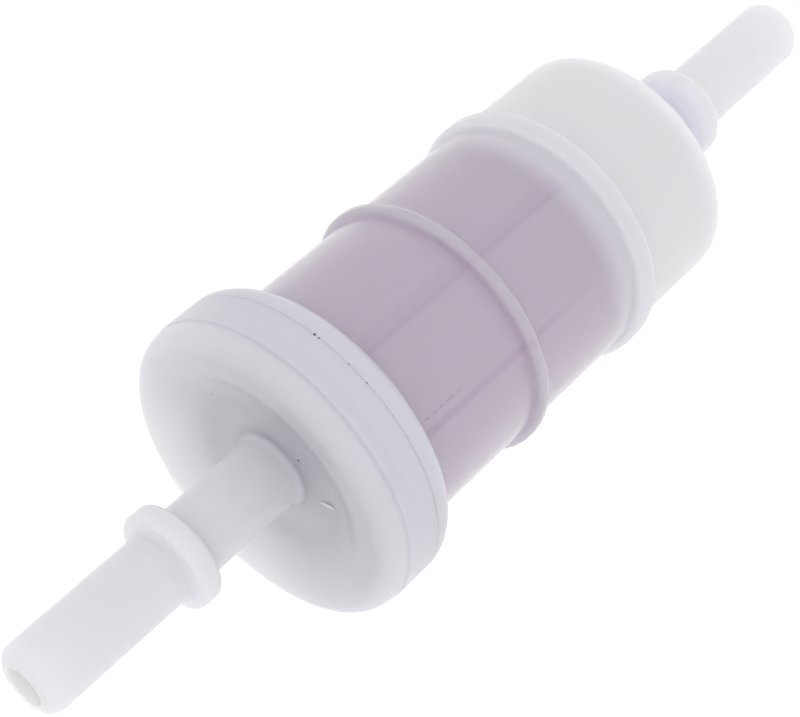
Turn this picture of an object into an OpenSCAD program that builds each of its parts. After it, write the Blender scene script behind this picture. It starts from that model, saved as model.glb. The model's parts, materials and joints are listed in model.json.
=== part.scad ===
// In-line fuel filter with a welded plastic housing.
// The axis runs along +X, from the inlet spigot's tip (-X) to the outlet spigot's tip (+X).
// The origin is on the axis, halfway between the two tips. "Station" is a distance from the inlet tip.

/* [Spigots] */
// Outer diameter of both spigots
spigot_d = 7.9; // [7.4:0.1:8.4]
// Bore of both spigots
spigot_bore_d = 4.4; // [4.0:0.1:5.0]
// Radius of the rounded edge at each spigot's tip
tip_round = 1.6; // [0.4:0.1:1.8]
// Outer diameter of the connector beads
bead_d = 11.3; // [10.4:0.1:12.0]
// Width of the inlet bead
inlet_bead_w = 2.6; // [1.6:0.1:3.0]
// Width of the outlet bead
outlet_bead_w = 4.2; // [3.2:0.1:4.4]
// Inlet tip to the middle of the inlet bead
inlet_bead_at = 19.2; // [18:0.1:21]
// Outlet tip to the middle of the outlet bead
outlet_bead_at = 21.6; // [20:0.1:23]

/* [Flange] */
// Largest diameter of the flange
flange_d = 35.4; // [34.8:0.1:36.4]
// Station of the raised rim's crest
rim_at = 31.1; // [30.4:0.1:31.6]
// Station of the dish floor, where the inlet spigot ends
dish_at = 33.4; // [32.8:0.1:33.6]
// Radius of the dish's flat middle, from which it curves up to the rim
dish_r = 7.4; // [6.8:0.1:9]
// Station of the weld between the cap and the housing
weld_at = 38.0; // [37.4:0.1:38.4]
// Station of the flange's rear face
flange_back_at = 41.4; // [41.2:0.1:42.6]
// Radius of the flange's rounded rear edge
flange_round = 3.0; // [1.5:0.1:3.0]

/* [Barrel] */
// Outer diameter of the barrel
barrel_d = 29.1; // [28.6:0.1:29.6]
// Thickness of the barrel wall
barrel_wall = 1.6; // [1.4:0.1:1.8]
// Diameter over the raised rings
ring_d = 31.0; // [30.4:0.1:31.8]
// Station of the middle ring
mid_ring_at = 58.2; // [56:0.1:60]
// Width of the middle ring
mid_ring_w = 1.6; // [1.4:0.1:2.2]
// Station of the far ring
far_ring_at = 76.5; // [75:0.1:78]
// Width of the far ring
far_ring_w = 2.6; // [2:0.1:3]
// Station of the barrel's far end face
barrel_end_at = 91.8; // [91:0.1:93]
// Overall length between the spigot tips
overall_len = 124.9; // [124:0.1:127]

/* [Element] */
// Number of pleats
pleat_count = 30; // [24:1:36]
// Diameter over the pleats
pleat_d = 24.2; // [23.6:0.1:24.4]
// Diameter inside the pleats
pleat_inner_d = 14.4; // [14.2:0.1:15.4]
// Thickness of the filter paper
paper_t = 0.45; // [0.35:0.05:0.5]
// Length of the pleats between the potting rings
pleat_len = 35.0; // [33:0.5:35]
// Number of slots around the core
slot_columns = 8; // [6:1:8]
// Number of slots along the core
slot_rows = 5; // [3:1:5]

/* [Hidden] */
$fn = 96;

milky = [0.86, 0.86, 0.88];
milky_barrel = [0.76, 0.70, 0.78];
lavender = [0.66, 0.52, 0.72];
white_plastic = [0.92, 0.92, 0.93];
potting_colour = [0.85, 0.83, 0.78];
clip_colour = [0.55, 0.42, 0.60];
seal_colour = [0.15, 0.15, 0.16];

// Housing and cap
spigot_r = spigot_d / 2;
bore_r = spigot_bore_d / 2;
mouth_bevel = 0.1;
lip_min = 0.05;
tip_r = min(tip_round, spigot_r - bore_r - mouth_bevel - lip_min);
root_fillet = 1.0;
inlet_bead_share = 0.5;
outlet_bead_share = 0.85;
flange_r = flange_d / 2;
rim_r = flange_r - 0.15;
rim_crest_r = rim_r - 1.75;
dish_slope = 2 * atan((dish_at - rim_at) / (rim_crest_r - dish_r));
dish_bend_r = (rim_crest_r - dish_r) / 2 / sin(dish_slope);
groove_at = dish_at + 0.15;
groove_w = 0.3;
groove_depth = 0.05;
rim_end_at = groove_at - 0.05;
band_round = 0.35;
band_step = flange_r - rim_r + groove_depth;
floor_t = 1.6;
cap_inside_at = dish_at + floor_t;
weld_gap = 0.05;
barrel_r = barrel_d / 2;
barrel_inner_r = barrel_r - barrel_wall;
tongue_r = barrel_r + 0.65;
ring_r = ring_d / 2;
ring_round_share = 0.95;
end_round = 1.1;
end_wall_t = 1.7;
chamber_end_at = barrel_end_at - end_wall_t;
guide_rib_w = 1.0;
guide_rib_h = 0.5;
guide_rib_count = 4;
guide_rib_turn = 21.5;
guide_rib_start_at = cap_inside_at + 1;

// Outlet socket and neck
socket_inner_r = 5.3;
socket_outer_r = 6.9;
socket_mouth_at = chamber_end_at - 11.5;
socket_floor_at = chamber_end_at - 1.6;
gusset_count = 6;
gusset_t = 1.4;
gusset_start_at = socket_mouth_at + 1.0;
neck_r = socket_inner_r - 0.3;
neck_bore_r = 3.2;
neck_end_at = socket_floor_at - 1.2;
seal_section_r = 0.66;
seal_clear = 0.01;
seal_groove_r = 3.95;
seal_groove_w = 1.8;
seal_groove_at = neck_end_at - 3.6;

// Element
disc_gap = 1.4;
disc_t = 1.0;
cup_depth = 1.2;
cup_wall = 0.6;
disc_r = 12.3;
cup_inner_r = disc_r - cup_wall;
inlet_disc_at = cap_inside_at + disc_gap;
inlet_cup_at = inlet_disc_at + disc_t;
pleat_start_at = inlet_cup_at + cup_depth;
pleat_end_at = pleat_start_at + pleat_len;
outlet_cup_at = pleat_end_at + cup_depth;
outlet_disc_back_at = outlet_cup_at + disc_t;
core_outer_r = pleat_inner_d / 2 - 0.3;
core_wall = 0.9;
core_inner_r = core_outer_r - core_wall;
slot_w = 2.6;
slot_len = 4.6;
slot_margin = 3.0;
nub_r = 0.9;
nub_count = 4;
nub_circle_r = 8.5;
pot_clear = 0.05;
core_seat_h = 0.6;

// Pleat folds, as half-widths of the paper's outer and inner skins at the tips and in the valleys
pleat_r = pleat_d / 2;
pleat_inner_r = pleat_inner_d / 2;
fold_half = paper_t;
crease_half = 0.12;
pleat_step = 360 / pleat_count;

// Side-seam clip, a channel that straddles one pleat's tip
seam_turn = 241.5;
clip_t = 0.25;
clip_depth = 1.0;
clip_gap = 0.08;
clip_side_gap = 0.35;

// Angle in degrees that an arc length takes at a radius
function sweep(arc_len, r) = arc_len / r * 180 / PI;

// Point at a radius and an angle
function polar(r, a) = [r * cos(a), r * sin(a)];

// Points [radius, station] along an elliptical arc about [centre_r, centre_at]
function arc(centre_r, centre_at, radial, axial, from, to, steps = 8) =
    [for (i = [0 : steps])
        let (a = from + (to - from) * i / steps)
        [centre_r + radial * cos(a), centre_at + axial * sin(a)]];

// Outline of a raised bead or ring along a shaft of the given radius, with its shoulders rounded
function bead_outline(shaft_r, top_r, at, width, share) =
    let (half = width / 2, r = min(half, top_r - shaft_r) * share)
    concat([[shaft_r, at - half]],
           arc(top_r - r, at - half + r, r, r, -90, 0, 6),
           arc(top_r - r, at + half - r, r, r, 0, 90, 6),
           [[shaft_r, at + half]]);

// Puts a shape drawn along +Z from the inlet tip onto the filter's own axis
module on_axis() {
    translate([-overall_len / 2, 0, 0])
        rotate([0, 90, 0])
            children();
}

// Solid of revolution from points [radius, station]
module lathe(points) {
    rotate_extrude()
        polygon(points);
}

// Round bar or drill between two stations
module bar(r, from, to) {
    translate([0, 0, from])
        cylinder(r = r, h = to - from);
}

// Flat ring or tube between two stations
module tube(outer_r, inner_r, from, to) {
    lathe([[inner_r, from], [outer_r, from], [outer_r, to], [inner_r, to]]);
}

module inlet_cap() {
    bead_r = bead_d / 2;
    outline = concat(
        [[bore_r + mouth_bevel, 0]],
        arc(spigot_r - tip_r, tip_round, tip_r, tip_round, -90, 0),
        bead_outline(spigot_r, bead_r, inlet_bead_at, inlet_bead_w, inlet_bead_share),
        arc(spigot_r + root_fillet, dish_at - root_fillet, root_fillet, root_fillet, 180, 90, 4),
        arc(dish_r, dish_at - dish_bend_r, dish_bend_r, dish_bend_r, 90, 90 - dish_slope),
        arc(rim_crest_r, rim_at + dish_bend_r, dish_bend_r, dish_bend_r, -90 - dish_slope, -90),
        arc(rim_crest_r, rim_end_at, rim_r - rim_crest_r, rim_end_at - rim_at, -90, 0),
        [[rim_r - groove_depth, groove_at], [rim_r - groove_depth, groove_at + groove_w]],
        arc(flange_r - band_step, groove_at + groove_w + band_round, band_step, band_round, -90, 0, 4),
        [[flange_r, weld_at], [tongue_r + weld_gap, weld_at], [tongue_r + weld_gap, cap_inside_at],
         [bore_r, cap_inside_at], [bore_r, mouth_bevel]]);
    color(milky)
        on_axis()
            lathe(outline);
}

module housing() {
    bead_r = bead_d / 2;
    bead_at = overall_len - outlet_bead_at;
    outline = concat(
        [[barrel_inner_r, cap_inside_at + weld_gap], [tongue_r, cap_inside_at + weld_gap],
         [tongue_r, weld_at], [flange_r, weld_at]],
        arc(flange_r - flange_round, flange_back_at - flange_round, flange_round, flange_round, 0, 90),
        [[barrel_r, flange_back_at]],
        bead_outline(barrel_r, ring_r, mid_ring_at, mid_ring_w, ring_round_share),
        bead_outline(barrel_r, ring_r, far_ring_at, far_ring_w, ring_round_share),
        arc(barrel_r - end_round, barrel_end_at - end_round, end_round, end_round, 0, 90),
        arc(spigot_r + root_fillet, barrel_end_at + root_fillet, root_fillet, root_fillet, -90, -180, 4),
        bead_outline(spigot_r, bead_r, bead_at, outlet_bead_w, outlet_bead_share),
        arc(spigot_r - tip_r, overall_len - tip_round, tip_r, tip_round, 0, 90),
        [[bore_r + mouth_bevel, overall_len], [bore_r, overall_len - mouth_bevel],
         [bore_r, socket_floor_at], [socket_inner_r, socket_floor_at], [socket_inner_r, socket_mouth_at],
         [socket_outer_r, socket_mouth_at], [socket_outer_r, chamber_end_at],
         [barrel_inner_r, chamber_end_at]]);
    color(milky_barrel)
        on_axis() {
            lathe(outline);
            for (i = [0 : guide_rib_count - 1])
                rotate(guide_rib_turn + i * 360 / guide_rib_count)
                    guide_rib();
            for (i = [0 : gusset_count - 1])
                rotate(i * 360 / gusset_count)
                    gusset();
        }
}

// Low rib on the barrel's inside that keeps the element central
module guide_rib() {
    rib_sink = 0.5;
    translate([barrel_inner_r - guide_rib_h, -guide_rib_w / 2, guide_rib_start_at])
        cube([guide_rib_h + rib_sink, guide_rib_w, chamber_end_at - guide_rib_start_at]);
}

// Radial web between the outlet socket and the barrel
module gusset() {
    web_sink = 0.5;
    translate([socket_outer_r - web_sink, -gusset_t / 2, gusset_start_at])
        cube([barrel_inner_r - socket_outer_r + 2 * web_sink, gusset_t, chamber_end_at - gusset_start_at]);
}

module inlet_end_disc() {
    color(white_plastic)
        on_axis() {
            bar(disc_r, inlet_disc_at, inlet_cup_at);
            tube(disc_r, cup_inner_r, inlet_cup_at, pleat_start_at);
            bar(core_inner_r - pot_clear, inlet_cup_at, inlet_cup_at + core_seat_h);
            for (i = [0 : nub_count - 1])
                rotate(i * 360 / nub_count)
                    translate([nub_circle_r, 0, 0])
                        bar(nub_r, cap_inside_at, inlet_disc_at);
        }
}

module inlet_potting() {
    color(potting_colour)
        on_axis()
            tube(cup_inner_r - pot_clear, core_outer_r + pot_clear, inlet_cup_at, pleat_start_at);
}

// Closed zigzag: at each pleat a tip of half-width tip_half and a valley of half-width valley_half
function zigzag(tip_r, tip_half, valley_r, valley_half) =
    let (tip_a = sweep(tip_half, tip_r), valley_a = sweep(valley_half, valley_r))
    [for (i = [0 : pleat_count - 1])
        for (p = [[tip_r, -tip_a], [tip_r, tip_a],
                  [valley_r, pleat_step / 2 - valley_a], [valley_r, pleat_step / 2 + valley_a]])
        polar(p[0], p[1] + seam_turn + i * pleat_step)];

module pleated_media() {
    color(lavender)
        on_axis()
            translate([0, 0, pleat_start_at])
                linear_extrude(pleat_len)
                    difference() {
                        polygon(zigzag(pleat_r, fold_half, pleat_inner_r + paper_t, crease_half));
                        polygon(zigzag(pleat_r - paper_t, crease_half, pleat_inner_r, fold_half));
                    }
}

// Channel over the tip of the pleat where the paper's two ends meet
module seam_clip() {
    inner_half = fold_half + clip_side_gap;
    clip_r = pleat_r + clip_gap;
    color(clip_colour)
        on_axis()
            rotate(seam_turn)
                translate([0, 0, pleat_start_at])
                    linear_extrude(pleat_len)
                        polygon([[clip_r - clip_depth, -inner_half], [clip_r, -inner_half],
                                 [clip_r, inner_half], [clip_r - clip_depth, inner_half],
                                 [clip_r - clip_depth, inner_half + clip_t],
                                 [clip_r + clip_t, inner_half + clip_t],
                                 [clip_r + clip_t, -inner_half - clip_t],
                                 [clip_r - clip_depth, -inner_half - clip_t]]);
}

module core_tube() {
    slot_pitch = (pleat_len - 2 * slot_margin) / slot_rows;
    slot_start = pleat_start_at + slot_margin + (slot_pitch - slot_len) / 2;
    color(white_plastic)
        on_axis()
            difference() {
                tube(core_outer_r, core_inner_r, inlet_cup_at, outlet_cup_at);
                for (row = [0 : slot_rows - 1])
                    for (column = [0 : slot_columns - 1])
                        rotate(column * 360 / slot_columns)
                            translate([core_inner_r - 1, -slot_w / 2, slot_start + row * slot_pitch])
                                cube([core_wall + 2, slot_w, slot_len]);
            }
}

module outlet_potting() {
    color(potting_colour)
        on_axis()
            tube(cup_inner_r - pot_clear, core_outer_r + pot_clear, pleat_end_at, outlet_cup_at);
}

module outlet_end_disc() {
    groove_end_at = seal_groove_at + seal_groove_w;
    color(white_plastic)
        on_axis()
            lathe([[neck_bore_r, outlet_cup_at], [cup_inner_r, outlet_cup_at], [cup_inner_r, pleat_end_at],
                   [disc_r, pleat_end_at], [disc_r, outlet_disc_back_at], [neck_r, outlet_disc_back_at],
                   [neck_r, seal_groove_at], [seal_groove_r, seal_groove_at],
                   [seal_groove_r, groove_end_at], [neck_r, groove_end_at],
                   [neck_r, neck_end_at], [neck_bore_r, neck_end_at]]);
}

module neck_seal() {
    centre_r = seal_groove_r + seal_section_r + seal_clear;
    color(seal_colour)
        on_axis()
            rotate_extrude()
                translate([centre_r, seal_groove_at + seal_section_r])
                    circle(r = seal_section_r, $fn = 32);
}

inlet_cap();
housing();
inlet_end_disc();
inlet_potting();
pleated_media();
seam_clip();
core_tube();
outlet_potting();
outlet_end_disc();
neck_seal();
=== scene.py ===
"""Looks of the in-line fuel filter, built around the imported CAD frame.

The filter's axis runs along +X. The two welded mouldings are remade as fine lathe shells with their real
wall thickness, so that light passes through them and the lavender element inside shows through the barrel.
Stations are distances from the inlet spigot's tip, in millimetres, as in the CAD source.
"""

import json
import math
import random

import bpy
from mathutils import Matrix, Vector, noise


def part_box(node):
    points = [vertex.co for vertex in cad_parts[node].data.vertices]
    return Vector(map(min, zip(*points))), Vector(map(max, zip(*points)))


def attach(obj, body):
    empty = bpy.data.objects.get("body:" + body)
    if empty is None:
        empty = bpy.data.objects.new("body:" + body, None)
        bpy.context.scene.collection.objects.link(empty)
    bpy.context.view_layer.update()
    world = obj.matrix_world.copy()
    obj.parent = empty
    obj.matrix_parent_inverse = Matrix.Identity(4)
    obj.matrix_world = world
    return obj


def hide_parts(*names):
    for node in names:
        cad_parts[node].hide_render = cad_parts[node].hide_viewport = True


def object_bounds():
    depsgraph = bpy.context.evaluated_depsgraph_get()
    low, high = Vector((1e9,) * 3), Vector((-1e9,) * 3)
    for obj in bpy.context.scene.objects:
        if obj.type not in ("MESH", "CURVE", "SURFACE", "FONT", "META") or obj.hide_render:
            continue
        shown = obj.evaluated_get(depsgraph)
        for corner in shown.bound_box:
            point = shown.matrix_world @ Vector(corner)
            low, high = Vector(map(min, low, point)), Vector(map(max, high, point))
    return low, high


MM = 0.001

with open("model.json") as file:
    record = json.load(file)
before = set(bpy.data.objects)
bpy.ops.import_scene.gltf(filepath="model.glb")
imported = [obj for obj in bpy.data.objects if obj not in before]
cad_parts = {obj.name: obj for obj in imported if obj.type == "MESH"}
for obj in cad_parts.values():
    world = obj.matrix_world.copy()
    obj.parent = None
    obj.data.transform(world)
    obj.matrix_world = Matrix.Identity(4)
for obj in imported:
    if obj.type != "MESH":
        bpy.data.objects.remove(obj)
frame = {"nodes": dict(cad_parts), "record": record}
nodes = frame["nodes"]
mounts = {mount["name"]: mount for mount in frame["record"]["mounts"]}


def plain(bounds):
    """A pair of corners as plain lists of numbers."""
    return [[float(c) for c in corner] for corner in bounds]


cad_bounds = plain(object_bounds())


# ---------------------------------------------------------------- sizes, in millimetres

def node_range(node, axis):
    """Lowest and highest coordinate of a CAD node along an axis, in millimetres."""
    low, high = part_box(node)
    return low[axis] / MM, high[axis] / MM


INLET_TIP_X = node_range("inlet_cap", 0)[0]
OVERALL_LEN = node_range("housing", 0)[1] - INLET_TIP_X
WELD_AT = node_range("inlet_cap", 0)[1] - INLET_TIP_X
TONGUE_LEN = 3.0
CAP_INSIDE_AT = WELD_AT - TONGUE_LEN
FLANGE_R = node_range("inlet_cap", 1)[1]
SPIGOT_R = mounts["inlet_spigot"]["dims"]["r_mm"]
BORE_R = mounts["inlet_bore"]["dims"]["r_mm"]
PLEAT_END_AT = node_range("pleated_media", 0)[1] - INLET_TIP_X

TIP_ROUND = 1.6
MOUTH_BEVEL = 0.1
LIP_MIN = 0.05
TIP_R = min(TIP_ROUND, SPIGOT_R - BORE_R - MOUTH_BEVEL - LIP_MIN)
BEAD_R = 5.65
INLET_BEAD_AT = 19.2
INLET_BEAD_W = 2.6
OUTLET_BEAD_AT = OVERALL_LEN - 21.6
OUTLET_BEAD_W = 4.2
INLET_BEAD_SHARE = 0.5
OUTLET_BEAD_SHARE = 0.85
BEAD_FOOT = 0.85
ROOT_FILLET = 1.0

RIM_AT = 31.1
DISH_AT = 33.4
DISH_R = 7.4
RIM_R = FLANGE_R - 0.15
RIM_CREST_R = RIM_R - 1.75
DISH_SLOPE = 2 * math.degrees(math.atan((DISH_AT - RIM_AT) / (RIM_CREST_R - DISH_R)))
DISH_BEND_R = (RIM_CREST_R - DISH_R) / 2 / math.sin(math.radians(DISH_SLOPE))
GROOVE_AT = DISH_AT + 0.15
GROOVE_W = 0.3
GROOVE_DEPTH = 0.05
RIM_END_AT = GROOVE_AT - 0.05
BAND_ROUND = 0.35
BAND_STEP = FLANGE_R - RIM_R + GROOVE_DEPTH
FLANGE_BACK_AT = 41.4
FLANGE_ROUND = 3.0
SEAM_BEVEL = 0.02
SEAM_GAP = 0.01
TONGUE_GAP = 0.05

BARREL_R = 14.55
BARREL_WALL = 1.6
BARREL_INNER_R = BARREL_R - BARREL_WALL
BARREL_ROOT = 0.25
TONGUE_R = BARREL_R + 0.65
RING_R = 15.5
MID_RING_AT = 58.2
MID_RING_W = 1.6
MID_RING_SHARE = 0.75
MID_RING_FOOT = 0.35
FAR_RING_AT = 76.5
FAR_RING_W = 2.6
FAR_RING_SHARE = 0.6
FAR_RING_FOOT = 0.5
BARREL_END_AT = 91.8
END_ROUND = 1.1
CHAMBER_END_AT = BARREL_END_AT - 1.7

SOCKET_INNER_R = 5.3
SOCKET_OUTER_R = 6.9
SOCKET_MOUTH_AT = CHAMBER_END_AT - 11.5
SOCKET_FLOOR_AT = CHAMBER_END_AT - 1.6
GUSSET_COUNT = 6
GUSSET_T = 1.4
GUSSET_START_AT = SOCKET_MOUTH_AT + 1.0
GUIDE_RIB_COUNT = 4
GUIDE_RIB_TURN = 21.5
GUIDE_RIB_W = 1.0
GUIDE_RIB_H = 0.5
GUIDE_RIB_START_AT = CAP_INSIDE_AT + 1.0
WEB_SINK = 0.5


# ---------------------------------------------------------------- camera

CAMERA_SIDE_TURN = 30.2
CAMERA_AZIMUTH = -49.94
CAMERA_ELEVATION = 47.85
CAMERA_DISTANCE = 208.67 * MM
AIM_RIGHT = -5.94 * MM
AIM_UP = -5.47 * MM
LENS = 87.35
SENSOR_WIDTH = 36


def view_axes(azimuth, elevation):
    """Right, up and back unit vectors of a camera. Azimuth 0 looks along +Y."""
    a = math.radians(azimuth)
    e = math.radians(elevation)
    right = Vector((math.cos(a), math.sin(a), 0))
    back = Vector((math.sin(a) * math.cos(e), -math.cos(a) * math.cos(e), math.sin(e)))
    return right, back.cross(right), back


def add_camera():
    right, up, back = view_axes(CAMERA_AZIMUTH, CAMERA_ELEVATION)
    low, high = (Vector(c) for c in cad_bounds)
    aim = (low + high) / 2 + right * AIM_RIGHT + up * AIM_UP
    data = bpy.data.cameras.new("camera")
    data.lens = LENS
    data.sensor_width = SENSOR_WIDTH
    data.clip_start = 0.01
    data.clip_end = 50
    camera = bpy.data.objects.new("camera", data)
    camera.location = aim + back * CAMERA_DISTANCE
    camera.rotation_euler = back.to_track_quat("Z", "Y").to_euler()
    bpy.context.scene.collection.objects.link(camera)
    bpy.context.scene.camera = camera


# ---------------------------------------------------------------- light and floor

WORLD_STRENGTH = 0.98
FLOOR_GLOW = 0.10
FLOOR_DROP = 0.25
FLOOR_HALF = 3.0
LAMP_FROM = Vector((0.10, -0.50, 0.86))
LAMP_STRENGTH = 0.28
LAMP_WIDTH = math.radians(100)


def add_world():
    world = bpy.data.worlds.new("studio")
    world.use_nodes = True
    background = world.node_tree.nodes["Background"]
    background.inputs["Color"].default_value = (1, 1, 1, 1)
    background.inputs["Strength"].default_value = WORLD_STRENGTH
    bpy.context.scene.world = world


def add_lamp():
    """A wide soft lamp above the filter, a little to the front."""
    data = bpy.data.lights.new("soft_lamp", "SUN")
    data.energy = LAMP_STRENGTH
    data.angle = LAMP_WIDTH
    lamp = bpy.data.objects.new("soft_lamp", data)
    lamp.rotation_euler = LAMP_FROM.to_track_quat("Z", "Y").to_euler()
    bpy.context.scene.collection.objects.link(lamp)


def add_floor():
    level = cad_bounds[0][2] - FLOOR_DROP
    signs = ((-1, -1), (1, -1), (1, 1), (-1, 1))
    corners = [(across * FLOOR_HALF, along * FLOOR_HALF, level) for across, along in signs]
    mesh = bpy.data.meshes.new("floor")
    mesh.from_pydata(corners, [], [(0, 1, 2, 3)])
    floor = bpy.data.objects.new("floor", mesh)
    bpy.context.scene.collection.objects.link(floor)
    mesh.materials.append(floor_material())


# ---------------------------------------------------------------- materials

class Graph:
    """A new material with a lone Principled shader, and short calls that add nodes to it."""

    def __init__(self, name):
        self.material = bpy.data.materials.new(name)
        self.material.use_nodes = True
        self.tree = self.material.node_tree
        self.shader = self.tree.nodes["Principled BSDF"]
        self.place = self.tree.nodes.new("ShaderNodeTexCoord").outputs["Object"]

    def join(self, value, socket):
        """Sets a socket to a number or colour, or links it to another node's output."""
        if isinstance(value, bpy.types.NodeSocket):
            self.tree.links.new(value, socket)
        else:
            socket.default_value = value

    def set(self, socket_name, value):
        self.join(value, self.shader.inputs[socket_name])

    def scaled_place(self, scale):
        node = self.tree.nodes.new("ShaderNodeMapping")
        self.join(self.place, node.inputs["Vector"])
        node.inputs["Scale"].default_value = scale
        return node.outputs["Vector"]

    def noise(self, scale, detail=3.0, rough=0.55, stretch=(1, 1, 1)):
        """Noise whose grain is about 1 / scale metres."""
        node = self.tree.nodes.new("ShaderNodeTexNoise")
        self.join(self.scaled_place(stretch), node.inputs["Vector"])
        node.inputs["Scale"].default_value = scale
        node.inputs["Detail"].default_value = detail
        node.inputs["Roughness"].default_value = rough
        return node.outputs["Fac"]

    def ramp(self, value, low, high, to_low=0.0, to_high=1.0, smooth=True):
        node = self.tree.nodes.new("ShaderNodeMapRange")
        node.interpolation_type = "SMOOTHSTEP" if smooth else "LINEAR"
        for name, number in (("Value", value), ("From Min", low), ("From Max", high),
                             ("To Min", to_low), ("To Max", to_high)):
            self.join(number, node.inputs[name])
        return node.outputs["Result"]

    def math(self, operation, a, b):
        node = self.tree.nodes.new("ShaderNodeMath")
        node.operation = operation
        self.join(a, node.inputs[0])
        self.join(b, node.inputs[1])
        return node.outputs[0]

    def times(self, first, *others):
        for other in others:
            first = self.math("MULTIPLY", first, other)
        return first

    def mix(self, share, a, b):
        """Goes from colour a to colour b as the share goes from 0 to 1."""
        node = self.tree.nodes.new("ShaderNodeMix")
        node.data_type = "RGBA"
        self.join(share, node.inputs["Factor"])
        self.join(a, node.inputs[6])
        self.join(b, node.inputs[7])
        return node.outputs[2]

    def tint(self, share, colour, over):
        """Lays a share of one colour over another."""
        return self.mix(share, over, colour)

    def bump(self, height, strength, distance):
        node = self.tree.nodes.new("ShaderNodeBump")
        node.inputs["Strength"].default_value = strength
        node.inputs["Distance"].default_value = distance
        self.join(height, node.inputs["Height"])
        return node.outputs["Normal"]


def station_x(station):
    """A station in millimetres as an X coordinate in metres."""
    return (INLET_TIP_X + station) * MM


class RoundGraph(Graph):
    """A graph with soft masks about the X axis. Stations and radii are in millimetres.

    A turn is an angle about X in degrees, from +Z toward -Y.
    """

    # The share of a streak's half width that has its full strength.
    STREAK_CORE = 0.3

    def __init__(self, name):
        super().__init__(name)
        flat = self.tree.nodes.new("ShaderNodeVectorMath")
        flat.operation = "LENGTH"
        self.join(self.scaled_place((0, 1, 1)), flat.inputs[0])
        split = self.tree.nodes.new("ShaderNodeSeparateXYZ")
        self.join(self.scaled_place((1, -1, 1)), split.inputs[0])
        self.x = split.outputs["X"]
        self.radius = flat.outputs["Value"]
        self.angle = self.math("ARCTAN2", split.outputs["Y"], split.outputs["Z"])

    def band(self, rise_from, rise_to, fall_from, fall_to):
        """1 between two stations, with a soft start and end."""
        rises = self.ramp(self.x, station_x(rise_from), station_x(rise_to))
        falls = self.ramp(self.x, station_x(fall_from), station_x(fall_to), 1.0, 0.0)
        return self.times(rises, falls)

    def outside(self, start, end):
        """A soft step from 0 to 1 between two radii."""
        return self.ramp(self.radius, start * MM, end * MM)

    def inside(self, start, end):
        """A soft step from 1 to 0 between two radii."""
        return self.ramp(self.radius, start * MM, end * MM, 1.0, 0.0)

    def away_from(self, turn):
        """The angle to a turn, in radians."""
        return self.math("ABSOLUTE", self.math("SUBTRACT", self.angle, math.radians(turn)), 0.0)

    def by_turn(self, away, start, end, at_start, at_end):
        """A soft step between two values while the angle goes from start to end, in degrees."""
        return self.ramp(away, math.radians(start), math.radians(end), at_start, at_end)

    def streak(self, turn, half_width, strength):
        """A soft line along the filter. Its half width is in degrees."""
        core = half_width * self.STREAK_CORE
        return self.by_turn(self.away_from(turn), core, half_width, strength, 0.0)


def floor_material():
    graph = Graph("pale_floor")
    graph.set("Base Color", (0.92, 0.92, 0.92, 1))
    graph.set("Roughness", 0.9)
    graph.set("Emission Color", (1, 1, 1, 1))
    graph.set("Emission Strength", FLOOR_GLOW)
    return graph.material


MILKY_WHITE = (0.85, 0.835, 0.985, 1)
MILKY_WARM = (0.85, 0.832, 0.97, 1)
# Painted light: the inside of the bore is painted lighter than the spigot.
MILKY_BORE_LIGHT = (0.96, 0.95, 0.98, 1)
# Painted light: creases at the feet of the inlet bead and the far ring are painted lighter, cancelling
# their shade.
MILKY_CREASE_LIGHT = (0.88, 0.865, 0.955, 1)
# Painted shade: the beads are painted darker, toning down the light their thin crests catch.
MILKY_BEAD_SHADE = (0.745, 0.735, 0.785, 1)
MILKY_INLET = (0.78, 0.77, 0.84, 1)
# Painted shade: the flange is painted greyer, standing in for light lost into the dark inside behind its
# wall.
MILKY_FLANGE_SHADE = (0.635, 0.625, 0.69, 1)
# Painted shade and light on the dish: a darker rim, a lit rim away from the camera, a darker floor and a
# darkest patch.
MILKY_RIM_SHADED = (0.67, 0.66, 0.71, 1)
MILKY_RIM_LIT = (0.79, 0.78, 0.81, 1)
MILKY_DISH_SHADE = (0.54, 0.54, 0.58, 1)
MILKY_RING = (0.69, 0.68, 0.735, 1)
MILKY_SHADE = (0.38, 0.38, 0.42, 1)
MILKY_SEAM = (0.58, 0.57, 0.61, 1)
MILKY_BARREL = (0.775, 0.66, 0.815, 1)
BARREL_STREAK = (0.60, 0.46, 0.65, 1)
BARREL_HIGHLIGHT = (0.87, 0.81, 0.92, 1)
PARTING_DIRT = (0.40, 0.31, 0.43, 1)
CLEAR_BARREL = 0.50
CLEAR_ENDS = 0.12
COAT_BARREL = 0.9
COAT_ENDS = 0.35
SCATTER_DEPTH = 5 * MM

# Pairs of stations between which a tint fades in or out.
BEFORE_TIP = (-2, -1)
INLET_TINT_END = (21, 28)
BODY_START = (27, 29)
BODY_END = (BARREL_END_AT + 1, BARREL_END_AT + 3)
BORE_LIGHT_END = (30, 34)
FLANGE_START = (RIM_AT - 1.5, RIM_AT - 0.3)
CREASE_LIGHT_SHARE = 0.6
RING_SHARE = 0.4

# Painted shade: the dish is painted darkest on the camera's side. Painted light: its rim is painted lighter
# on the other.
DARK_TURN = CAMERA_SIDE_TURN + 12
DARK_WITHIN = 30
DARK_UP_TO = 105
DARK_SHARE = 0.55
DARK_FULL_R = 14.8
DARK_GONE_R = 18.4
LIT_FROM = 95
LIT_BEYOND = 150
FLOOR_SHADE_R = 7.5
RIM_SHADING_R = 11.5

# Streaks on the barrel: half widths in degrees and strengths.
# Painted shade: the rib and broad streaks darken the barrel where sink marks over the guide ribs would
# shade it.
RIB_SHADE_STREAK = (1.8, 0.22)
BROAD_SHADE_TURN = GUIDE_RIB_TURN - 3
BROAD_SHADE_STREAK = (6.0, 0.20)
SEAM_TURN = 61.5
SEAM_STREAK = (2.6, 0.5)
PARTING_TURN = 55.9
PARTING_STREAK = (0.5, 0.7)
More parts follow.
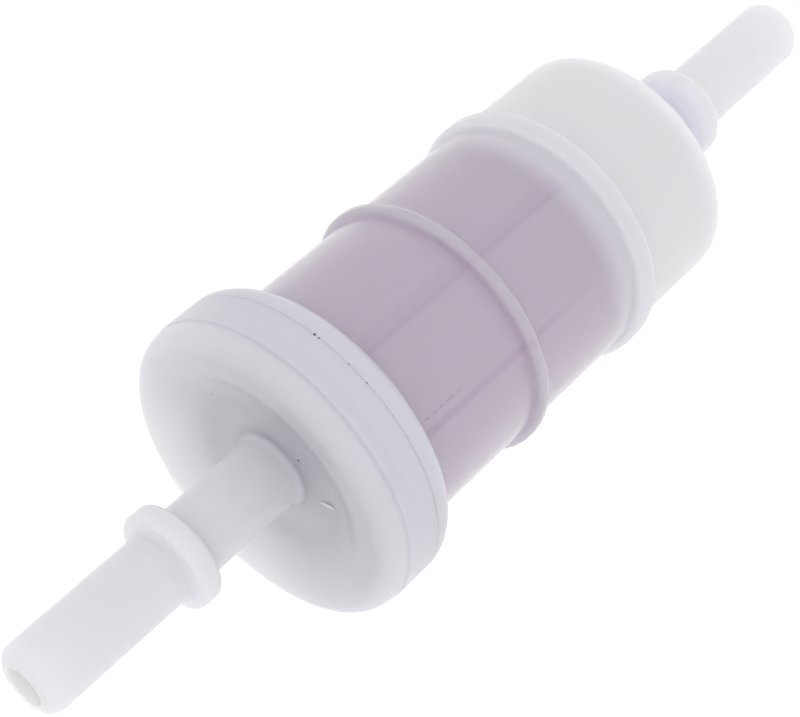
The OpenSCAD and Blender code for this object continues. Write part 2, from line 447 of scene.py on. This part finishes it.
# Painted highlights: two pale lines on the barrel.
HIGHLIGHT_TURNS = (-34.2, -36.4)
HIGHLIGHT_HALF_WIDTH = 0.8
HIGHLIGHT_SHARES = (0.6, 0.45)


def plain_colour(graph):
    """The spigots, the beads and the rear body, which are nearly white. The bore and creases have painted
    light, the beads painted shade.
    """
    clouds = graph.ramp(graph.noise(110, 4), 0.3, 0.7)
    colour = graph.mix(clouds, MILKY_WHITE, MILKY_WARM)
    colour = graph.tint(graph.band(*BEFORE_TIP, *INLET_TINT_END), MILKY_INLET, colour)

    # Painted shade: the beads away from the body are painted darker.
    off_body = graph.math("SUBTRACT", 1.0, graph.band(*BODY_START, *BODY_END))
    beads = graph.times(graph.outside(SPIGOT_R + 0.5, SPIGOT_R + 1.3), off_body)
    colour = graph.tint(beads, MILKY_BEAD_SHADE, colour)

    # Painted light: the bore is painted lighter near the inlet.
    bore_part = graph.band(*BEFORE_TIP, *BORE_LIGHT_END)
    bore = graph.times(graph.inside(BORE_R + 0.1, BORE_R + 0.5), bore_part)
    colour = graph.tint(bore, MILKY_BORE_LIGHT, colour)

    # Painted light: the crease in front of the inlet bead is painted lighter.
    bead_front = INLET_BEAD_AT - INLET_BEAD_W / 2
    before_bead = graph.band(bead_front - 1.6, bead_front - 0.5, bead_front, bead_front + 0.4)
    bead_crease_light = graph.times(graph.inside(SPIGOT_R + 0.5, BEAD_R - 0.2), before_bead, CREASE_LIGHT_SHARE)
    colour = graph.tint(bead_crease_light, MILKY_CREASE_LIGHT, colour)

    far_ring = graph.band(FAR_RING_AT - 3.0, FAR_RING_AT - 0.5, FAR_RING_AT + 1.3, FAR_RING_AT + 1.7)
    colour = graph.tint(far_ring, MILKY_RING, colour)
    # Painted light: the crease in front of the far ring is painted lighter.
    ring_front = FAR_RING_AT - FAR_RING_W / 2
    before_ring = graph.band(ring_front - 0.9, ring_front - 0.3, ring_front - 0.1, ring_front + 0.3)
    return graph.tint(graph.times(before_ring, CREASE_LIGHT_SHARE), MILKY_CREASE_LIGHT, colour)


def flange_light_and_shade(graph):
    """The flange, painted greyer as shade. Its dish is painted darkest toward the floor and on the camera's
    side, as shade, and its rim painted lighter on the other side, as light.
    """
    away = graph.away_from(DARK_TURN)
    lit = graph.by_turn(away, LIT_FROM, LIT_BEYOND, 0.0, 1.0)
    rim = graph.tint(lit, MILKY_RIM_LIT, MILKY_RIM_SHADED)
    dish = graph.mix(graph.outside(FLOOR_SHADE_R, RIM_SHADING_R), MILKY_DISH_SHADE, rim)

    # Painted shade: the dish is darkest beside the spigot on the camera's side, out toward the rim.
    off_spigot = graph.outside(SPIGOT_R, SPIGOT_R + 0.9)
    off_rim = graph.inside(DARK_FULL_R, DARK_GONE_R)
    dark = graph.times(off_spigot, off_rim, graph.by_turn(away, DARK_WITHIN, DARK_UP_TO, DARK_SHARE, 0.0))
    dish = graph.tint(dark, MILKY_SHADE, dish)

    front = graph.band(*FLANGE_START, GROOVE_AT - 0.4, GROOVE_AT + 0.4)
    return graph.tint(front, dish, MILKY_FLANGE_SHADE)


def barrel_colour(graph):
    """The barrel, lavender from the element behind it, with streaks, some of them painted shade, two
    painted highlights and a few dirty dashes along it.
    """
    # Painted shade: streaks over the guide ribs.
    streaks = graph.streak(BROAD_SHADE_TURN, *BROAD_SHADE_STREAK)
    for i in range(GUIDE_RIB_COUNT):
        turn = (GUIDE_RIB_TURN + 180 + i * 360 / GUIDE_RIB_COUNT) % 360 - 180
        streaks = graph.math("ADD", streaks, graph.streak(turn, *RIB_SHADE_STREAK))
    fading = graph.band(FLANGE_BACK_AT - 1, FLANGE_BACK_AT, MID_RING_AT - 4, PLEAT_END_AT)
    seam = graph.times(fading, graph.streak(SEAM_TURN, *SEAM_STREAK))
    streaks = graph.math("ADD", streaks, seam)

    # Painted highlights: two pale lines between the flange and the mid ring.
    pair = [graph.streak(turn, HIGHLIGHT_HALF_WIDTH, share) for turn, share in zip(HIGHLIGHT_TURNS, HIGHLIGHT_SHARES)]
    highlight_part = graph.band(FLANGE_BACK_AT + 2, FLANGE_BACK_AT + 5, MID_RING_AT - 9, MID_RING_AT - 2)
    pale = graph.times(graph.math("ADD", *pair), highlight_part)

    broken = graph.ramp(graph.noise(1600, 2), 0.47, 0.56)
    dirty_part = graph.band(FLANGE_BACK_AT - 1, FLANGE_BACK_AT, FLANGE_BACK_AT + 3, FLANGE_BACK_AT + 11)
    dashes = graph.times(graph.streak(PARTING_TURN, *PARTING_STREAK), broken, dirty_part)

    colour = graph.tint(streaks, BARREL_STREAK, MILKY_BARREL)
    colour = graph.tint(pale, BARREL_HIGHLIGHT, colour)
    colour = graph.tint(dashes, PARTING_DIRT, colour)
    rings = graph.times(graph.outside(BARREL_R + 0.1, BARREL_R + 0.5), RING_SHARE)
    return graph.tint(rings, MILKY_RING, colour)


def milky_nylon():
    """Milky moulded nylon, clearer along the barrel, where the element's colour comes through."""
    graph = RoundGraph("milky_nylon")
    barrel = graph.band(FLANGE_BACK_AT - 1.5, FLANGE_BACK_AT + 0.8, PLEAT_END_AT - 3.4, PLEAT_END_AT + 2.6)
    off_spigot = graph.outside(SPIGOT_R + 0.02, SPIGOT_R + 0.7)
    flange_part = graph.band(*FLANGE_START, FLANGE_BACK_AT - 1.0, FLANGE_BACK_AT + 0.3)
    flange = graph.times(off_spigot, flange_part)
    near_weld = graph.band(WELD_AT - 3.4, WELD_AT - 2, WELD_AT + 2, WELD_AT + 3.3)
    solid = graph.times(graph.outside(BARREL_R + 1.0, BARREL_R + 2.0), near_weld)
    patches = graph.ramp(graph.noise(900, 4, 0.7), 0.45, 0.65, 0.1, 0.8)
    weld_line = graph.band(WELD_AT - 0.2, WELD_AT - 0.05, WELD_AT + 0.05, WELD_AT + 0.2)
    seam = graph.times(solid, patches, weld_line)

    # Painted light and shade: on the flange, its dish and rim, and in the bore, creases and beads.
    colour = graph.tint(flange, flange_light_and_shade(graph), plain_colour(graph))
    colour = graph.tint(seam, MILKY_SEAM, colour)
    graph.set("Base Color", graph.tint(barrel, barrel_colour(graph), colour))
    clear = graph.ramp(barrel, 0.0, 1.0, CLEAR_ENDS, CLEAR_BARREL, smooth=False)
    graph.set("Transmission Weight", clear)
    graph.set("Roughness", graph.ramp(graph.noise(420, 3), 0.3, 0.7, 0.46, 0.54))
    graph.set("IOR", 1.5)
    graph.set("Subsurface Weight", graph.ramp(solid, 0.0, 1.0, 1.0, 0.1, smooth=False))
    graph.set("Subsurface Scale", SCATTER_DEPTH)
    graph.set("Subsurface Radius", (1, 1, 1))
    coat = graph.ramp(barrel, 0.0, 1.0, COAT_ENDS, COAT_BARREL, smooth=False)
    graph.set("Coat Weight", coat)
    graph.set("Coat Roughness", 0.08)
    graph.set("Normal", graph.bump(graph.noise(700, 2), 0.15, 0.00005))
    return graph.material


def scar_material():
    """Stress-whitened plastic where the gate was twisted off."""
    graph = Graph("gate_scar")
    grain = graph.ramp(graph.noise(2500, 3), 0.35, 0.65)
    dull = (0.74, 0.74, 0.80, 1)
    pale = (0.90, 0.90, 0.94, 1)
    graph.set("Base Color", graph.mix(grain, dull, pale))
    graph.set("Roughness", graph.ramp(grain, 0.0, 1.0, 0.35, 0.6))
    graph.set("Normal", graph.bump(grain, 0.3, 0.00005))
    return graph.material


def dark_resin(name, dark, light):
    """Grainy dark resin between a dark and a light colour, for charred specks and for a painted shadow."""
    graph = Graph(name)
    grain = graph.ramp(graph.noise(4000, 3), 0.35, 0.65)
    graph.set("Base Color", graph.mix(grain, dark, light))
    graph.set("Roughness", graph.ramp(grain, 0.0, 1.0, 0.5, 0.8))
    graph.set("Normal", graph.bump(grain, 0.3, 0.00005))
    return graph.material


def lavender_paper():
    """Pleated lavender filter paper with a fibrous, slightly blotchy surface."""
    graph = Graph("lavender_paper")
    fibres = graph.noise(900, 5, 0.7, (0.35, 1, 1))
    blotches = graph.ramp(graph.noise(160, 3), 0.3, 0.7)
    deep = (0.48, 0.21, 0.58, 1)
    bright = (0.52, 0.24, 0.62, 1)
    fibre = (0.66, 0.42, 0.74, 1)
    fibre_share = graph.ramp(fibres, 0.45, 0.75, 0.0, 0.35)
    graph.set("Base Color", graph.mix(fibre_share, graph.mix(blotches, deep, bright), fibre))
    graph.set("Roughness", graph.ramp(fibres, 0.3, 0.7, 0.85, 0.97))
    graph.set("Normal", graph.bump(fibres, 0.5, 0.0001))
    return graph.material


def white_plastic():
    """Moulded white plastic with faint flow marks, for the element's discs and core."""
    graph = Graph("white_plastic")
    flow = graph.ramp(graph.noise(140, 3, 0.5, (1, 1, 0.4)), 0.3, 0.7)
    grey = (0.80, 0.80, 0.82, 1)
    white = (0.86, 0.86, 0.87, 1)
    graph.set("Base Color", graph.mix(flow, grey, white))
    graph.set("Roughness", graph.ramp(graph.noise(500, 3), 0.3, 0.7, 0.42, 0.58))
    graph.set("Normal", graph.bump(graph.noise(900, 2), 0.2, 0.00005))
    return graph.material


def potting_material():
    """Cream potting compound with a cloudy, slightly wavy surface."""
    graph = Graph("potting")
    clouds = graph.ramp(graph.noise(250, 4), 0.3, 0.7)
    tan = (0.70, 0.66, 0.58, 1)
    cream = (0.80, 0.77, 0.70, 1)
    graph.set("Base Color", graph.mix(clouds, tan, cream))
    graph.set("Roughness", graph.ramp(clouds, 0.0, 1.0, 0.35, 0.6))
    graph.set("Normal", graph.bump(graph.noise(400, 3), 0.4, 0.0002))
    return graph.material


def clip_material():
    """Dark purple plastic, drawn lengthwise."""
    graph = Graph("clip_plastic")
    streaks = graph.ramp(graph.noise(500, 3, 0.5, (0.15, 1, 1)), 0.3, 0.7)
    dark = (0.30, 0.16, 0.36, 1)
    light = (0.38, 0.22, 0.44, 1)
    graph.set("Base Color", graph.mix(streaks, dark, light))
    graph.set("Roughness", graph.ramp(streaks, 0.0, 1.0, 0.4, 0.6))
    graph.set("Normal", graph.bump(streaks, 0.2, 0.0001))
    return graph.material


def rubber_material():
    """Matt black rubber."""
    graph = Graph("seal_rubber")
    grain = graph.noise(1500, 3)
    black = (0.018, 0.018, 0.02, 1)
    dusty = (0.035, 0.034, 0.036, 1)
    graph.set("Base Color", graph.mix(graph.ramp(grain, 0.3, 0.7), black, dusty))
    graph.set("Roughness", graph.ramp(grain, 0.3, 0.7, 0.5, 0.7))
    graph.set("Normal", graph.bump(grain, 0.3, 0.00005))
    return graph.material


def paint(node_name, material):
    mesh = nodes[node_name].data
    mesh.materials.clear()
    mesh.materials.append(material)


# ---------------------------------------------------------------- shells

SEGMENTS = 216
LONGEST_STEP = 1.2
SAME_POINT = 1e-6
SHARP_ANGLE = math.radians(38)


def arc(centre_r, centre_at, radial, axial, start, end, steps=10):
    """Points (radius, station) along an elliptical arc, between two angles in degrees."""
    angles = [math.radians(start + (end - start) * i / steps) for i in range(steps + 1)]
    return [(centre_r + radial * math.cos(a), centre_at + axial * math.sin(a)) for a in angles]


def bead(shaft_r, top_r, at, width, share, foot):
    """A raised bead or ring with rounded shoulders and a small fillet where it meets its shaft."""
    half = width / 2
    round_r = min(half, top_r - shaft_r) * share
    foot = min(foot, top_r - shaft_r - round_r)
    return (arc(shaft_r + foot, at - half - foot, foot, foot, 180, 90, 4)
            + arc(top_r - round_r, at - half + round_r, round_r, round_r, -90, 0, 8)
            + arc(top_r - round_r, at + half - round_r, round_r, round_r, 0, 90, 8)
            + arc(shaft_r + foot, at + half + foot, foot, foot, -90, -180, 4))


def fine(outline):
    """The closed outline with its long stretches split into steps of even length."""
    points = []
    for (r0, s0), (r1, s1) in zip(outline, outline[1:] + outline[:1]):
        length = math.hypot(r1 - r0, s1 - s0)
        if length < SAME_POINT:
            continue
        steps = max(1, math.ceil(length / LONGEST_STEP))
        points += [(r0 + (r1 - r0) * i / steps, s0 + (s1 - s0) * i / steps) for i in range(steps)]
    return points


def finish_mesh(name, vertices, faces):
    """An object from vertices in metres, shaded smooth apart from its sharp edges."""
    mesh = bpy.data.meshes.new(name)
    mesh.from_pydata(vertices, [], faces)
    mesh.validate()
    mesh.shade_smooth()
    mesh.set_sharp_from_angle(angle=SHARP_ANGLE)
    obj = bpy.data.objects.new(name, mesh)
    bpy.context.scene.collection.objects.link(obj)
    return obj


def lathe(name, outline, shape=None):
    """A closed ring of revolution about X.

    shape(radius, station, angle) may move a point's radius and station.
    """
    points = fine(outline)
    count = len(points)
    vertices = []
    for i in range(SEGMENTS):
        angle = 2 * math.pi * i / SEGMENTS
        for r, s in points:
            if shape:
                r, s = shape(r, s, angle)
            vertices.append((station_x(s), -r * math.sin(angle) * MM, r * math.cos(angle) * MM))
    faces = []
    for i in range(SEGMENTS):
        k = (i + 1) % SEGMENTS
        for j in range(count):
            m = (j + 1) % count
            faces.append((i * count + j, k * count + j, k * count + m, i * count + m))
    return finish_mesh(name, vertices, faces)


def box_piece(r0, r1, width, s0, s1, turn):
    """A bar along the filter between two radii and two stations, at an angle from +Z toward -Y."""
    half = width / 2
    angle = math.radians(turn)
    radial = Vector((0, -math.sin(angle), math.cos(angle)))
    side = Vector((0, math.cos(angle), math.sin(angle)))
    corners = [Vector((station_x(s), 0, 0)) + (radial * r + side * w) * MM
               for s in (s0, s1) for r in (r0, r1) for w in (-half, half)]
    faces = [(0, 1, 3, 2), (4, 6, 7, 5), (0, 4, 5, 1), (2, 3, 7, 6), (0, 2, 6, 4), (1, 5, 7, 3)]
    return finish_mesh("web", corners, faces)


def merge(target, pieces):
    """Unites the pieces with the target's solid and removes them."""
    for piece in pieces:
        modifier = target.modifiers.new("unite", "BOOLEAN")
        modifier.operation = "UNION"
        modifier.solver = "EXACT"
        modifier.object = piece
    depsgraph = bpy.context.evaluated_depsgraph_get()
    mesh = bpy.data.meshes.new_from_object(target.evaluated_get(depsgraph))
    target.modifiers.clear()
    target.data = mesh
    mesh.set_sharp_from_angle(angle=SHARP_ANGLE)
    for piece in pieces:
        bpy.data.objects.remove(piece)


TIP_BITE = 0.15
TIP_BITE_LEN = 1.0
BITE_GRAIN = 2.6
BITE_DRIFT = 1.7
WAVE = 0.012
WAVE_GRAIN = 2.0
WAVE_DRIFT = 0.12


def ragged_tip(tip_at):
    """A lathe's shape function. The spigot's end is slightly uneven, and the rest is very slightly wavy."""
    inward = 1 if tip_at < OVERALL_LEN / 2 else -1

    def shape(r, s, angle):
        around = Vector((math.cos(angle), math.sin(angle), 0))
        near = max(0.0, 1 - abs(s - tip_at) / TIP_BITE_LEN)
        bite = noise.noise(around * BITE_GRAIN + Vector((0, 0, r * BITE_DRIFT)))
        s += TIP_BITE * near * abs(bite) * inward
        r += WAVE * noise.noise(around * WAVE_GRAIN + Vector((0, 0, s * WAVE_DRIFT)))
        return r, s
    return shape


def cap_outline():
    """From the tip over the bead, the dish and the rim to the weld, and back along the bore."""
    return (
        arc(SPIGOT_R - TIP_R, TIP_ROUND, TIP_R, TIP_ROUND, -90, 0)
        + bead(SPIGOT_R, BEAD_R, INLET_BEAD_AT, INLET_BEAD_W, INLET_BEAD_SHARE, BEAD_FOOT)
        + arc(SPIGOT_R + ROOT_FILLET, DISH_AT - ROOT_FILLET, ROOT_FILLET, ROOT_FILLET, 180, 90, 8)
        + arc(DISH_R, DISH_AT - DISH_BEND_R, DISH_BEND_R, DISH_BEND_R, 90, 90 - DISH_SLOPE, 12)
        + arc(RIM_CREST_R, RIM_AT + DISH_BEND_R, DISH_BEND_R, DISH_BEND_R, -90 - DISH_SLOPE, -90, 12)
        + arc(RIM_CREST_R, RIM_END_AT, RIM_R - RIM_CREST_R, RIM_END_AT - RIM_AT, -90, 0, 14)
        + [(RIM_R - GROOVE_DEPTH, GROOVE_AT), (RIM_R - GROOVE_DEPTH, GROOVE_AT + GROOVE_W)]
        + arc(FLANGE_R - BAND_STEP, GROOVE_AT + GROOVE_W + BAND_ROUND, BAND_STEP, BAND_ROUND, -90, 0, 6)
        + [(FLANGE_R, WELD_AT - SEAM_BEVEL), (FLANGE_R - SEAM_BEVEL, WELD_AT)]
        + [(TONGUE_R + TONGUE_GAP, WELD_AT), (TONGUE_R + TONGUE_GAP, CAP_INSIDE_AT)]
        + [(BORE_R, CAP_INSIDE_AT), (BORE_R, MOUTH_BEVEL), (BORE_R + MOUTH_BEVEL, 0)])


def housing_outline():
    """From the tongue over the flange, the barrel and the spigot, and back along the bore and socket."""
    weld_face = WELD_AT + SEAM_GAP
    tongue_end = CAP_INSIDE_AT + TONGUE_GAP
    return (
        [(BARREL_INNER_R, tongue_end), (TONGUE_R, tongue_end), (TONGUE_R, weld_face)]
        + [(FLANGE_R - SEAM_BEVEL, weld_face), (FLANGE_R, weld_face + SEAM_BEVEL)]
        + arc(FLANGE_R - FLANGE_ROUND, FLANGE_BACK_AT - FLANGE_ROUND, FLANGE_ROUND, FLANGE_ROUND, 0, 90, 14)
        + arc(BARREL_R + BARREL_ROOT, FLANGE_BACK_AT + BARREL_ROOT, BARREL_ROOT, BARREL_ROOT, -90, -180, 4)
        + bead(BARREL_R, RING_R, MID_RING_AT, MID_RING_W, MID_RING_SHARE, MID_RING_FOOT)
        + bead(BARREL_R, RING_R, FAR_RING_AT, FAR_RING_W, FAR_RING_SHARE, FAR_RING_FOOT)
        + arc(BARREL_R - END_ROUND, BARREL_END_AT - END_ROUND, END_ROUND, END_ROUND, 0, 90)
        + arc(SPIGOT_R + ROOT_FILLET, BARREL_END_AT + ROOT_FILLET, ROOT_FILLET, ROOT_FILLET, -90, -180, 8)
        + bead(SPIGOT_R, BEAD_R, OUTLET_BEAD_AT, OUTLET_BEAD_W, OUTLET_BEAD_SHARE, BEAD_FOOT)
        + arc(SPIGOT_R - TIP_R, OVERALL_LEN - TIP_ROUND, TIP_R, TIP_ROUND, 0, 90)
        + [(BORE_R + MOUTH_BEVEL, OVERALL_LEN), (BORE_R, OVERALL_LEN - MOUTH_BEVEL)]
        + [(BORE_R, SOCKET_FLOOR_AT), (SOCKET_INNER_R, SOCKET_FLOOR_AT)]
        + [(SOCKET_INNER_R, SOCKET_MOUTH_AT), (SOCKET_OUTER_R, SOCKET_MOUTH_AT)]
        + [(SOCKET_OUTER_R, CHAMBER_END_AT), (BARREL_INNER_R, CHAMBER_END_AT)])


def make_cap(material):
    cap = lathe("fine_cap", cap_outline(), ragged_tip(0.0))
    cap.data.materials.append(material)
    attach(cap, "root")
    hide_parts("inlet_cap")


def make_housing(material):
    housing = lathe("fine_housing", housing_outline(), ragged_tip(OVERALL_LEN))
    wall = BARREL_INNER_R + WEB_SINK
    end = CHAMBER_END_AT + WEB_SINK
    rib_r = BARREL_INNER_R - GUIDE_RIB_H
    gusset_r = SOCKET_OUTER_R - WEB_SINK
    webs = []
    for i in range(GUIDE_RIB_COUNT):
        turn = 180 + GUIDE_RIB_TURN + i * 360 / GUIDE_RIB_COUNT
        webs.append(box_piece(rib_r, wall, GUIDE_RIB_W, GUIDE_RIB_START_AT, end, turn))
    for i in range(GUSSET_COUNT):
        turn = 180 + i * 360 / GUSSET_COUNT
        webs.append(box_piece(gusset_r, wall, GUSSET_T, GUSSET_START_AT, end, turn))
    merge(housing, webs)
    housing.data.materials.append(material)
    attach(housing, "root")
    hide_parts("housing")


# ---------------------------------------------------------------- small marks

# A speck on the weld is (turn from the camera's side, radius). One on the dish has its distance from the
# axis in front.
WELD_SPECKS = ((-22.6, 0.15), (-20.7, 0.12), (-8.4, 0.08), (-0.5, 0.09),
               (15.4, 0.06), (9.0, 0.05), (12.0, 0.05))
DISH_SPECKS = ((5.7, 11, 0.15), (9.7, -81, 0.08))
MORE_SPECKS = 18
MORE_SPECKS_TURN = (40, 330)
MORE_SPECKS_RADIUS = (0.02, 0.05)
SPECK_DRIFT = 0.06
SPECK_SINK = 0.02
GATE_R = 7.5
GATE_TURN = 90
GATE_LEAN = 0.9
GATE_SHADOW_ALONG = 0.15
GATE_SHADOW_ACROSS = -0.3


def turned(turn):
    """Unit vectors outward and sideways at an angle about X, in degrees from +Z toward -Y."""
    a = math.radians(turn)
    return Vector((0, -math.sin(a), math.cos(a))), Vector((0, -math.cos(a), -math.sin(a)))


def ridge(name, centre, along, across, up, half_length, bow, half_width, height, material):
    """A low crescent ridge that runs along one direction, bows across it and stands up from its surface."""
    steps = 16
    sides = 8
    sink = 0.05
    blunt_end = 0.06
    lumpiness = 0.25
    vertices = []
    for i in range(steps + 1):
        t = -1 + 2 * i / steps
        taper = max(blunt_end, 1 - t * t)
        spine = centre + (along * (half_length * t) + across * (bow * (1 - t * t))) * MM
        for j in range(sides):
            a = 2 * math.pi * j / sides
            swell = 1 + lumpiness * noise.noise(Vector((t * 3, j * 0.9, 0.3)))
            side = across * (half_width * taper * swell * math.cos(a))
            rise = up * (height * taper * swell * math.sin(a) - sink * taper)
            vertices.append(spine + (side + rise) * MM)
    faces = []
    for i in range(steps):
        for j in range(sides):
            here = i * sides
            k = (j + 1) % sides
            faces.append((here + j, here + k, here + sides + k, here + sides + j))
    faces += [tuple(reversed(range(sides))), tuple(steps * sides + j for j in range(sides))]
    piece = finish_mesh(name, vertices, faces)
    piece.data.materials.append(material)
    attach(piece, "root")


def specks(name, places, material):
    """Small flattened blobs, each given as (position, direction out of the surface, radius)."""
    vertices = []
    faces = []
    rings = 5
    around = 8
    lumpiness = 0.45
    flatness = 0.6
    for index, (centre, out, radius) in enumerate(places):
        side = out.orthogonal().normalized()
        other = out.cross(side)
        first = len(vertices)
        for i in range(rings + 1):
            tilt = math.pi * i / rings
            for j in range(around):
                a = 2 * math.pi * j / around
                level = side * math.cos(a) + other * math.sin(a)
                direction = level * math.sin(tilt) + out * math.cos(tilt)
                lump = 1 + lumpiness * noise.noise(direction * 1.7 + Vector((index * 3.1, 0, 0)))
                flat = direction - out * (direction.dot(out) * flatness)
                vertices.append(centre + flat * (radius * lump) * MM)
        for i in range(rings):
            for j in range(around):
                here = first + i * around
                k = (j + 1) % around
                faces.append((here + j, here + k, here + around + k, here + around + j))
    piece = finish_mesh(name, vertices, faces)
    piece.data.materials.append(material)
    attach(piece, "root")


def dish_station(r):
    """Station of the dish's surface at a radius inside its bend."""
    return DISH_AT - DISH_BEND_R + math.sqrt(DISH_BEND_R ** 2 - max(0.0, r - DISH_R) ** 2)


def make_gate_mark():
    """The scar that the moulding's gate left on the dish floor, with a painted shadow beside it: a thin
    dark ridge.
    """
    toward_top, toward_side = turned(CAMERA_SIDE_TURN)
    outward, _ = turned(GATE_TURN)
    centre = Vector((station_x(dish_station(GATE_R)), 0, 0)) + outward * GATE_R * MM
    up = Vector((-1, 0, 0))
    lean = (toward_side + toward_top * GATE_LEAN).normalized()
    across = lean.cross(up)
    ridge("gate_scar", centre, lean, across, up,
          half_length=1.25, bow=-0.3, half_width=0.18, height=0.26, material=scar_material())
    # Painted shadow: a thin dark ridge beside the scar, where its shade falls.
    shadow_resin = dark_resin("bruised_resin", dark=(0.26, 0.255, 0.28, 1), light=(0.38, 0.375, 0.40, 1))
    shadow_centre = centre + (lean * GATE_SHADOW_ALONG + across * GATE_SHADOW_ACROSS) * MM
    ridge("gate_edge", shadow_centre, lean, across, up,
          half_length=0.75, bow=-0.2, half_width=0.16, height=0.10, material=shadow_resin)


def make_weld_specks():
    """Dark specks of charred plastic on the weld between cap and housing, and two on the dish."""
    draw = random.Random(7)
    marks = list(WELD_SPECKS)
    for _ in range(MORE_SPECKS):
        marks.append((draw.uniform(*MORE_SPECKS_TURN), draw.uniform(*MORE_SPECKS_RADIUS)))
    places = []
    for turn, radius in marks:
        out, _ = turned(CAMERA_SIDE_TURN + turn)
        drift = draw.uniform(-SPECK_DRIFT, SPECK_DRIFT)
        on_axis = Vector((station_x(WELD_AT + drift), 0, 0))
        places.append((on_axis + out * (FLANGE_R - SPECK_SINK) * MM, out, radius))
    for r, turn, radius in DISH_SPECKS:
        out, _ = turned(CAMERA_SIDE_TURN + turn)
        on_axis = Vector((station_x(dish_station(r)), 0, 0))
        places.append((on_axis + out * r * MM, Vector((-1, 0, 0)), radius))
    charred = dark_resin("charred_resin", dark=(0.05, 0.045, 0.055, 1), light=(0.16, 0.14, 0.17, 1))
    specks("weld_specks", places, charred)


# ---------------------------------------------------------------- the scene

milky = milky_nylon()
make_cap(milky)
make_housing(milky)
make_gate_mark()
make_weld_specks()

white = white_plastic()
potting = potting_material()
for name in ("inlet_end_disc", "outlet_end_disc", "core_tube"):
    paint(name, white)
for name in ("inlet_potting", "outlet_potting"):
    paint(name, potting)
paint("pleated_media", lavender_paper())
paint("seam_clip", clip_material())
paint("neck_seal", rubber_material())

add_camera()
add_world()
add_lamp()
add_floor()
bpy.context.scene.view_settings.view_transform = "Standard"
